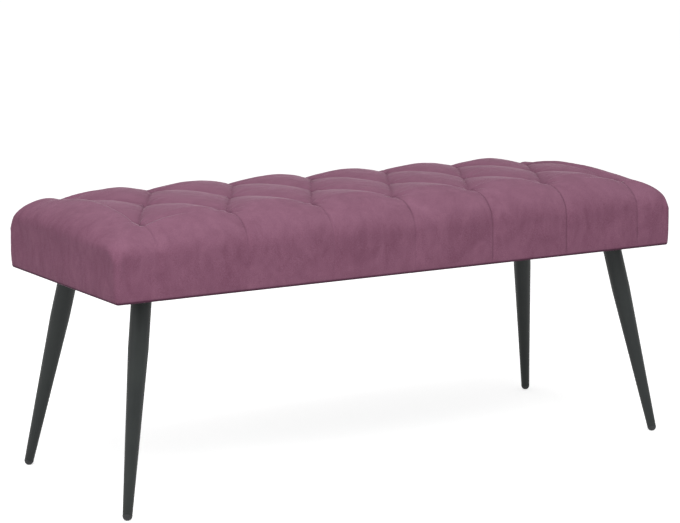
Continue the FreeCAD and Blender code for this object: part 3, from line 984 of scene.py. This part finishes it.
def drop_loose_points(mesh):
    """Delete the points that no face uses."""
    work = bmesh.new()
    work.from_mesh(mesh)
    loose = [vertex for vertex in work.verts if not vertex.link_faces]
    bmesh.ops.delete(work, geom=loose, context="VERTS")
    work.to_mesh(mesh)
    work.free()


def make_dust_cover():
    """The black lining stapled over the underside, with a window round each leg plate."""
    low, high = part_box("dust_cover")
    width, length = high.y - low.y, high.x - low.x
    across = even_places(low.x, high.x, round(length / LINING_STEP))
    along = even_places(low.y, high.y, round(width / LINING_STEP))
    windows = plate_windows()
    for left, right, front, back in windows:
        across = drawn_to(across, (right, left))
        along = drawn_to(along, (back, front))
    places = [lining_place(x, y, low, high, windows) for x in across for y in along]
    piece = mesh_piece("dust_lining", places, lining_faces(across, along, windows))
    drop_loose_points(piece.data)
    solidify = piece.modifiers.new("cloth", "SOLIDIFY")
    solidify.thickness = LINING_THICKNESS
    piece.data.materials.append(lining_cloth())
    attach(piece, "root")
    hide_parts("dust_cover")


def add_staple(work, centre, angle):
    """One staple pressed flat: a narrow bar with rounded ends that turn into the board."""
    half, wide, thick = STAPLE_HALF, STAPLE_HALF_WIDTH, STAPLE_THICKNESS
    outline = ((-half, thick), (-half + STAPLE_BEND, 0.0), (half - STAPLE_BEND, 0.0), (half, thick))
    turn = Matrix.Rotation(angle, 4, "Z")
    corners = []
    for x, z in outline:
        for side in (-wide, wide):
            corners.append(work.verts.new(centre + turn @ Vector((x, side, z - thick))))
        inner = z - thick + STAPLE_DEPTH
        for side in (wide, -wide):
            place = centre + turn @ Vector((x * STAPLE_INNER_SHARE, side, inner))
            corners.append(work.verts.new(place))
    for first in range(0, 4 * (len(outline) - 1), 4):
        second = first + 4
        for k in range(4):
            follow = (k + 1) % 4
            near = (corners[first + k], corners[first + follow])
            work.faces.new((*near, corners[second + follow], corners[second + k]))
    work.faces.new(corners[3::-1])
    work.faces.new(corners[-4:])


def make_staples():
    """The staples round the edge of the lining, set a little unevenly as by hand."""
    rng = random.Random(11)
    low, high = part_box("dust_cover")
    height = high.z - STAPLE_LEVEL
    left, right = low.x + STAPLE_INSET, high.x - STAPLE_INSET
    front, back = low.y + STAPLE_INSET, high.y - STAPLE_INSET
    mesh = bpy.data.meshes.new("staples")
    work = bmesh.new()
    for y in (front, back):
        for x in even_places(left, right, round((right - left) / STAPLE_SPACING)):
            centre = Vector((x, y + rng.uniform(-STAPLE_STRAY, STAPLE_STRAY), height))
            add_staple(work, centre, rng.uniform(-STAPLE_TURN, STAPLE_TURN))
    for x in (left, right):
        for y in even_places(front, back, round((back - front) / STAPLE_SPACING))[1:-1]:
            centre = Vector((x + rng.uniform(-STAPLE_STRAY, STAPLE_STRAY), y, height))
            add_staple(work, centre, math.pi / 2 + rng.uniform(-STAPLE_TURN, STAPLE_TURN))
    bmesh.ops.recalc_face_normals(work, faces=work.faces)
    work.to_mesh(mesh)
    work.free()
    piece = bpy.data.objects.new("staples", mesh)
    bpy.context.scene.collection.objects.link(piece)
    piece.data.materials.append(staple_wire())
    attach(piece, "root")


# The stage

# The camera: its place as a multiple of the length, how far it looks down and to the right, in
# radians, and its lens on a 36 mm sensor
CAMERA_PLACE = Vector((-1.7165, -2.7367, 0.8644)) * LENGTH
CAMERA_DIP = 0.1717
CAMERA_SWING = 0.5551
CAMERA_LENS = 109.0
CAMERA_SENSOR = 36.0
CAMERA_SIGHT = 50

# The floor's half size, its paint, and how much it glows where it is seen
FLOOR_REACH = 40.0
FLOOR_PAINT = (0.82, 0.82, 0.82, 1)
FLOOR_GLOW = 0.66

# The soft light from all round
WORLD_LEVEL = 0.44

# Each softbox: place, size and power, all facing one point in the seat
LIT_POINT = (0, 0, 0.4)
SOFTBOXES = {
    "top_softbox": ((-0.7, -1.6, 2.9), (2.6, 2.2), 77),
    "front_softbox": ((0.8, -3.2, 1.5), (2.4, 2.0), 4),
    "left_softbox": ((-3.2, -0.4, 1.6), (2.0, 1.8), 18),
}


def make_camera():
    """The camera at the photograph's place and angle."""
    data = bpy.data.cameras.new("camera")
    data.lens = CAMERA_LENS
    data.sensor_width = CAMERA_SENSOR
    data.clip_end = CAMERA_SIGHT
    camera = bpy.data.objects.new("camera", data)
    camera.location = CAMERA_PLACE
    camera.rotation_euler = (math.pi / 2 - CAMERA_DIP, 0.0, -CAMERA_SWING)
    bpy.context.scene.collection.objects.link(camera)
    bpy.context.scene.camera = camera


def math_node(tree, operation, first, second):
    """A node that works on two values, of which the second may be a plain number."""
    node = tree.nodes.new("ShaderNodeMath")
    node.operation = operation
    tree.links.new(first, node.inputs[0])
    if isinstance(second, float):
        node.inputs[1].default_value = second
    else:
        tree.links.new(second, node.inputs[1])
    return node.outputs[0]


def seen_directly(tree):
    """A value that is 1 for rays from the camera, from glossy surfaces or through clear ones."""
    path = tree.nodes.new("ShaderNodeLightPath").outputs
    seen = math_node(tree, "MAXIMUM", path["Is Camera Ray"], path["Is Transmission Ray"])
    return math_node(tree, "MAXIMUM", seen, path["Is Glossy Ray"])


def make_floor():
    """A plain pale floor that keeps the object's soft shadow."""
    far = FLOOR_REACH
    places = [(-far, -far, 0), (far, -far, 0), (far, far, 0), (-far, far, 0)]
    floor = mesh_piece("floor", places, [(0, 1, 2, 3)], smooth=False)
    material = bpy.data.materials.new("pale_floor")
    material.use_nodes = True
    tree = material.node_tree
    tree.nodes.remove(tree.nodes["Principled BSDF"])
    matt = tree.nodes.new("ShaderNodeBsdfDiffuse")
    matt.inputs["Color"].default_value = FLOOR_PAINT
    glow = tree.nodes.new("ShaderNodeEmission")
    level = math_node(tree, "MULTIPLY", seen_directly(tree), FLOOR_GLOW)
    tree.links.new(level, glow.inputs["Strength"])
    both = tree.nodes.new("ShaderNodeAddShader")
    tree.links.new(matt.outputs[0], both.inputs[0])
    tree.links.new(glow.outputs[0], both.inputs[1])
    tree.links.new(both.outputs[0], tree.nodes["Material Output"].inputs["Surface"])
    floor.data.materials.append(material)


def make_world():
    """White where it is seen, and a plain soft light for everything else."""
    world = bpy.data.worlds.new("studio")
    world.use_nodes = True
    tree = world.node_tree
    background = tree.nodes["Background"]
    level = tree.nodes.new("ShaderNodeMapRange")
    level.inputs["To Min"].default_value = WORLD_LEVEL
    level.inputs["To Max"].default_value = 1.0
    tree.links.new(seen_directly(tree), level.inputs["Value"])
    tree.links.new(level.outputs[0], background.inputs["Strength"])
    background.inputs["Color"].default_value = (1, 1, 1, 1)
    bpy.context.scene.world = world


def make_lights():
    """Soft studio light: a strong box above the front, and weak ones from the front and left."""
    for name, (place, size, power) in SOFTBOXES.items():
        data = bpy.data.lights.new(name, "AREA")
        data.shape = "RECTANGLE"
        data.size, data.size_y = size
        data.energy = power
        lamp = bpy.data.objects.new(name, data)
        lamp.location = place
        facing = Vector(LIT_POINT) - Vector(place)
        lamp.rotation_euler = facing.to_track_quat("-Z", "Y").to_euler()
        bpy.context.scene.collection.objects.link(lamp)


make_cushion()
dress_rigid_nodes()
make_dust_cover()
make_staples()
make_camera()
make_world()
make_lights()
make_floor()

bpy.context.scene.view_settings.view_transform = "Standard"
